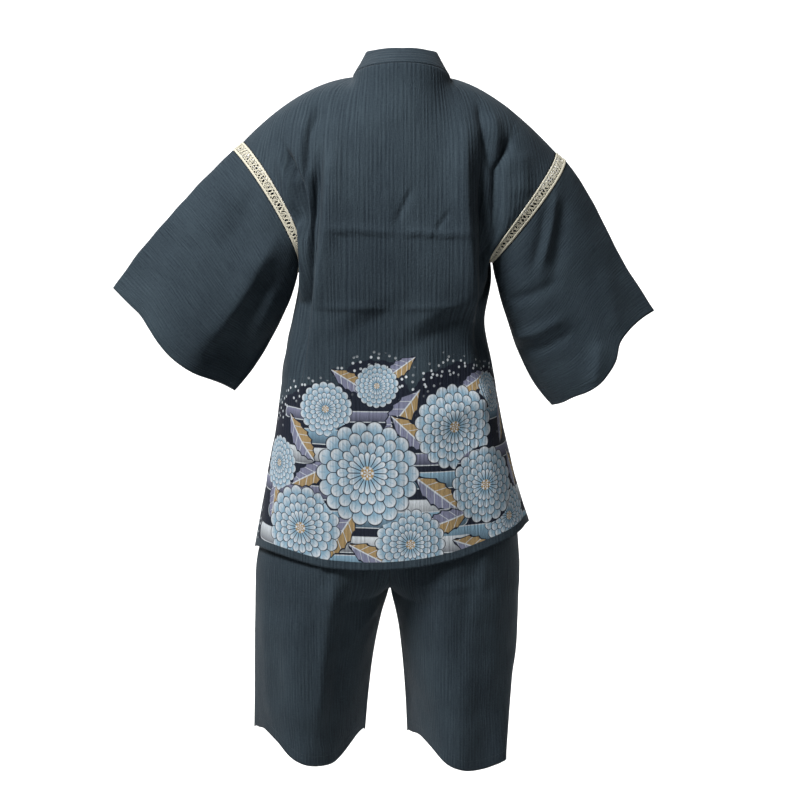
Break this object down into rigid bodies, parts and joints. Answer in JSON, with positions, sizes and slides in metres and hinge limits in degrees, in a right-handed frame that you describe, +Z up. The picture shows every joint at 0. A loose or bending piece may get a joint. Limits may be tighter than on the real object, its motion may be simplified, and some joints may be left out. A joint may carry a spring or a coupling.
{
  "type": "men's jinbei set",
  "caption": "Wrap jacket with wide short sleeves set on with lace and loose knee-length shorts, in the hollow form they keep when worn.",
  "frame": {"origin": "between the sides of the neck, at the height of the shoulder line, where the wearer's shoulders carry the jacket", "axes": "+Z up, +X towards the wearer's left, -Y towards the wearer's front"},
  "size_m": [0.8022, 0.287, 1.0537],
  "materials": {
    "indigo_cotton": "matt crepe weave",
    "cream_lace": "matt cotton lace"
  },
  "bodies": {
    "root": {"jacket_back": "indigo_cotton", "jacket_front_left": "indigo_cotton", "jacket_front_right": "indigo_cotton", "neckband": "indigo_cotton", "sleeve_left": "indigo_cotton", "sleeve_right": "indigo_cotton", "shorts_waistband": "indigo_cotton", "shorts_back_left": "indigo_cotton", "shorts_back_right": "indigo_cotton", "shorts_front_left": "indigo_cotton", "shorts_front_right": "indigo_cotton", "tie_knot": "indigo_cotton", "tie_loop_left": "indigo_cotton", "tie_loop_right": "indigo_cotton", "tie_tail_left": "indigo_cotton", "tie_tail_right": "indigo_cotton", "lace_left_back": "cream_lace", "lace_left_front": "cream_lace", "lace_right_back": "cream_lace", "lace_right_front": "cream_lace"}
  },
  "joints": []
}
